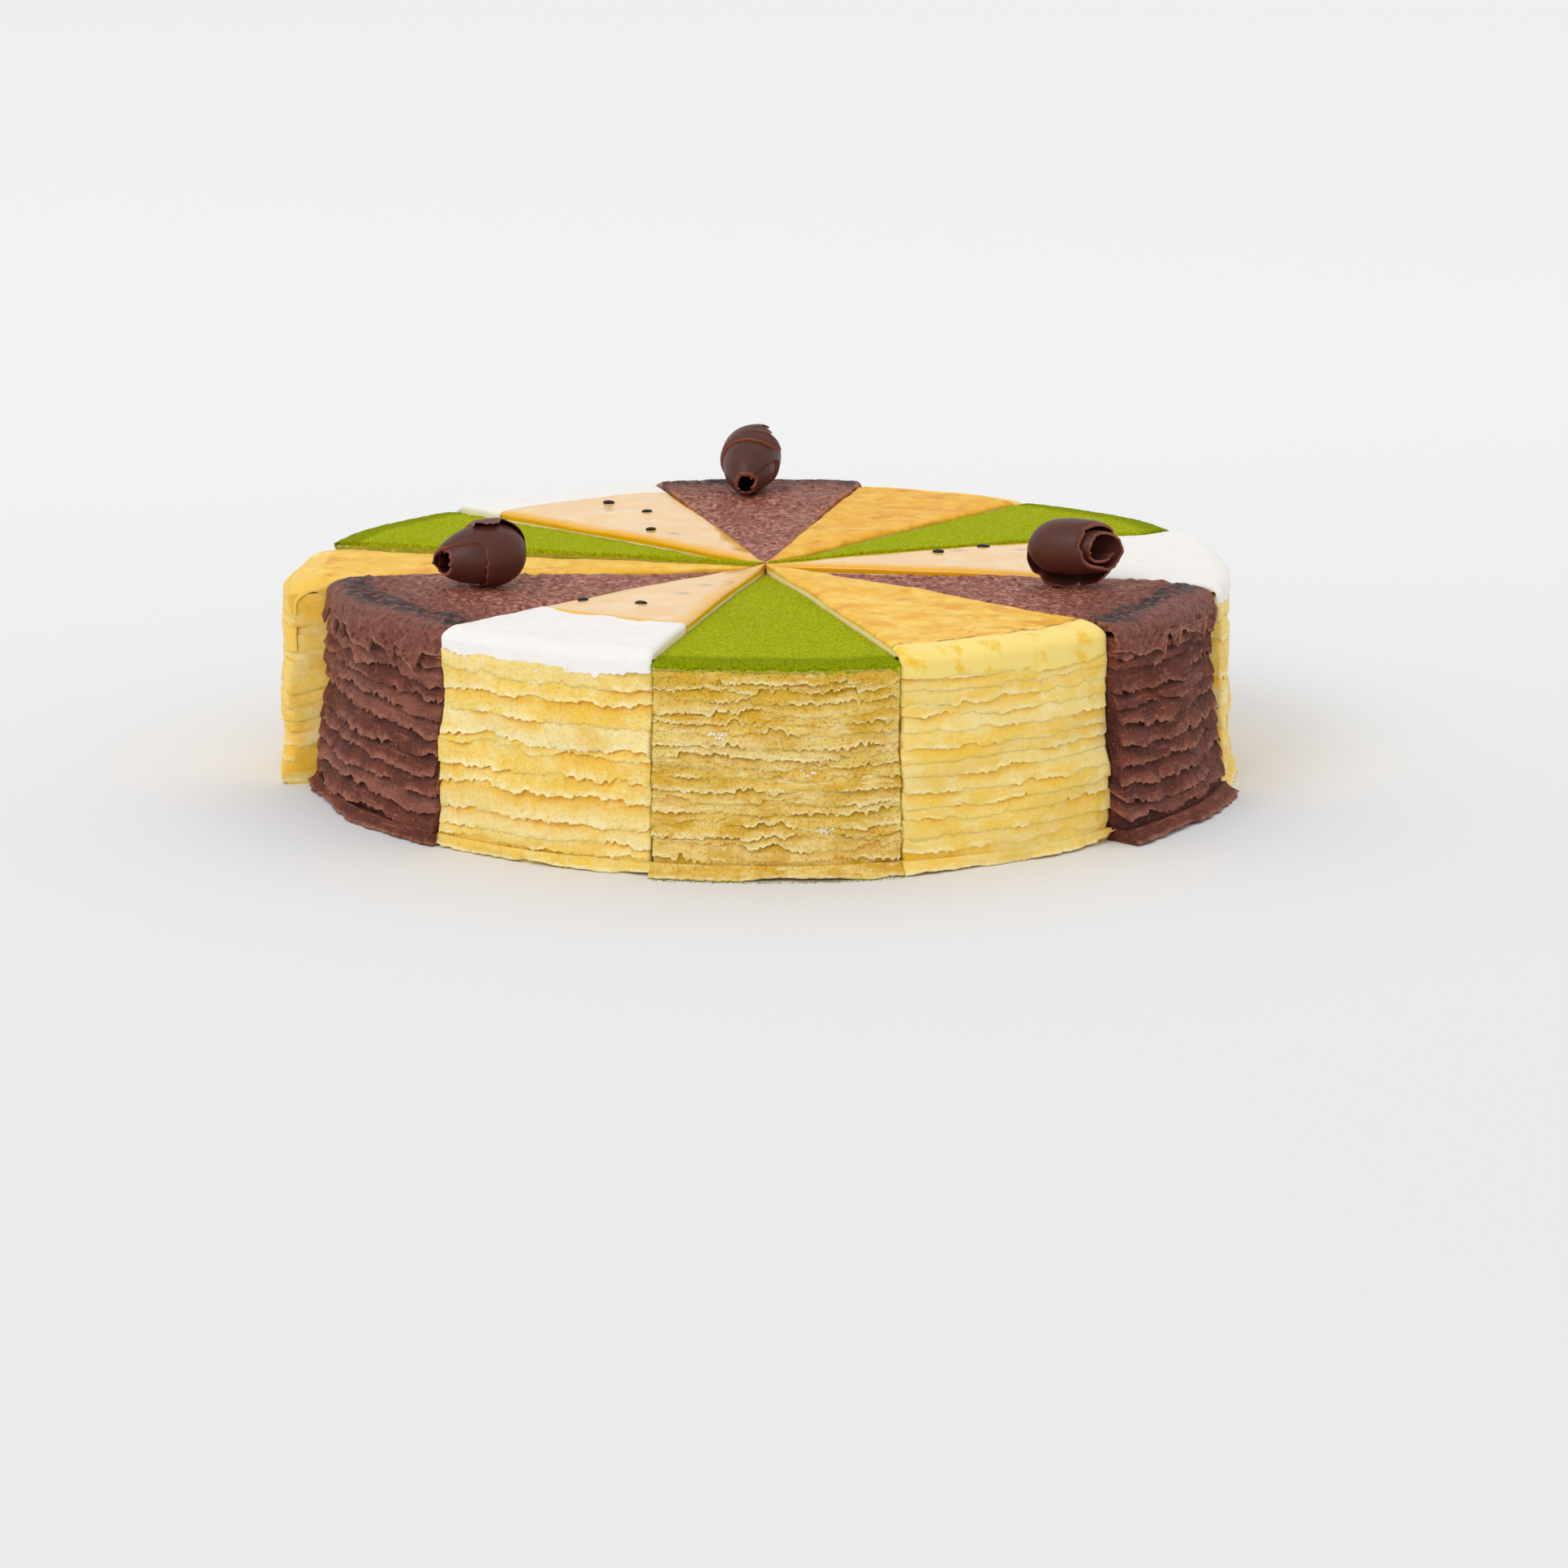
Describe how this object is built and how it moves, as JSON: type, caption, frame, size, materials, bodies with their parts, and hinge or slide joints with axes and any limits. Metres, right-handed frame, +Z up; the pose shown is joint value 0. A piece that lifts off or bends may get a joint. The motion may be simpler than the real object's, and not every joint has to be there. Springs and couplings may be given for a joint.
{
  "type": "crepe cake",
  "caption": "Round mille crepe cake cut into slices of matcha, plain, chocolate and passion fruit, topped with powder, browned crepe, jelly, cream and rolled chocolate curls.",
  "frame": {"origin": "middle of the flat underside of the cake, where the tips of the slices meet", "axes": "+Z up through the cake; -Y points out of the front, powdered, slice"},
  "size_m": [0.244, 0.2341, 0.0735],
  "materials": {
    "matcha_powder": "fine bright green tea powder, velvety and dry",
    "matcha_crepe": "spongy khaki green crepe edges full of tiny pores",
    "plain_crepe": "waxy pale lemon crepe edges, a little translucent",
    "browned_crepe": "golden browned crepe skin with fine wrinkles",
    "cocoa_crepe": "leathery red brown cocoa crepe with torn edges",
    "passion_jelly": "glossy peach passion fruit jelly with dark seeds",
    "whipped_cream": "smooth matt white whipped cream",
    "dark_chocolate": "satin dark chocolate with paler broken edges"
  },
  "bodies": {
    "root": {"chocolate_1_base_crepe": "cocoa_crepe", "chocolate_1_cocoa_top": "cocoa_crepe", "chocolate_1_crepe_stack": "cocoa_crepe", "chocolate_1_curl": "dark_chocolate", "chocolate_2_base_crepe": "cocoa_crepe", "chocolate_2_cocoa_top": "cocoa_crepe", "chocolate_2_crepe_stack": "cocoa_crepe", "chocolate_2_curl": "dark_chocolate", "chocolate_3_base_crepe": "cocoa_crepe", "chocolate_3_cocoa_top": "cocoa_crepe", "chocolate_3_crepe_stack": "cocoa_crepe", "chocolate_3_curl": "dark_chocolate", "matcha_1_base_crepe": "matcha_crepe", "matcha_1_crepe_stack": "matcha_crepe", "matcha_1_powdered_top": "matcha_powder", "matcha_2_base_crepe": "matcha_crepe", "matcha_2_crepe_stack": "matcha_crepe", "matcha_2_powdered_top": "matcha_powder", "matcha_3_base_crepe": "matcha_crepe", "matcha_3_crepe_stack": "matcha_crepe", "matcha_3_powdered_top": "matcha_powder", "passion_1_base_crepe": "plain_crepe", "passion_1_cream_band": "whipped_cream", "passion_1_crepe_stack": "plain_crepe", "passion_1_jelly": "passion_jelly", "passion_2_base_crepe": "plain_crepe", "passion_2_cream_band": "whipped_cream", "passion_2_crepe_stack": "plain_crepe", "passion_2_jelly": "passion_jelly", "passion_3_base_crepe": "plain_crepe", "passion_3_cream_band": "whipped_cream", "passion_3_crepe_stack": "plain_crepe", "passion_3_jelly": "passion_jelly", "plain_1_base_crepe": "plain_crepe", "plain_1_browned_top": "browned_crepe", "plain_1_crepe_stack": "plain_crepe", "plain_2_base_crepe": "plain_crepe", "plain_2_browned_top": "browned_crepe", "plain_2_crepe_stack": "plain_crepe", "plain_3_base_crepe": "plain_crepe", "plain_3_browned_top": "browned_crepe", "plain_3_crepe_stack": "plain_crepe"}
  },
  "joints": []
}
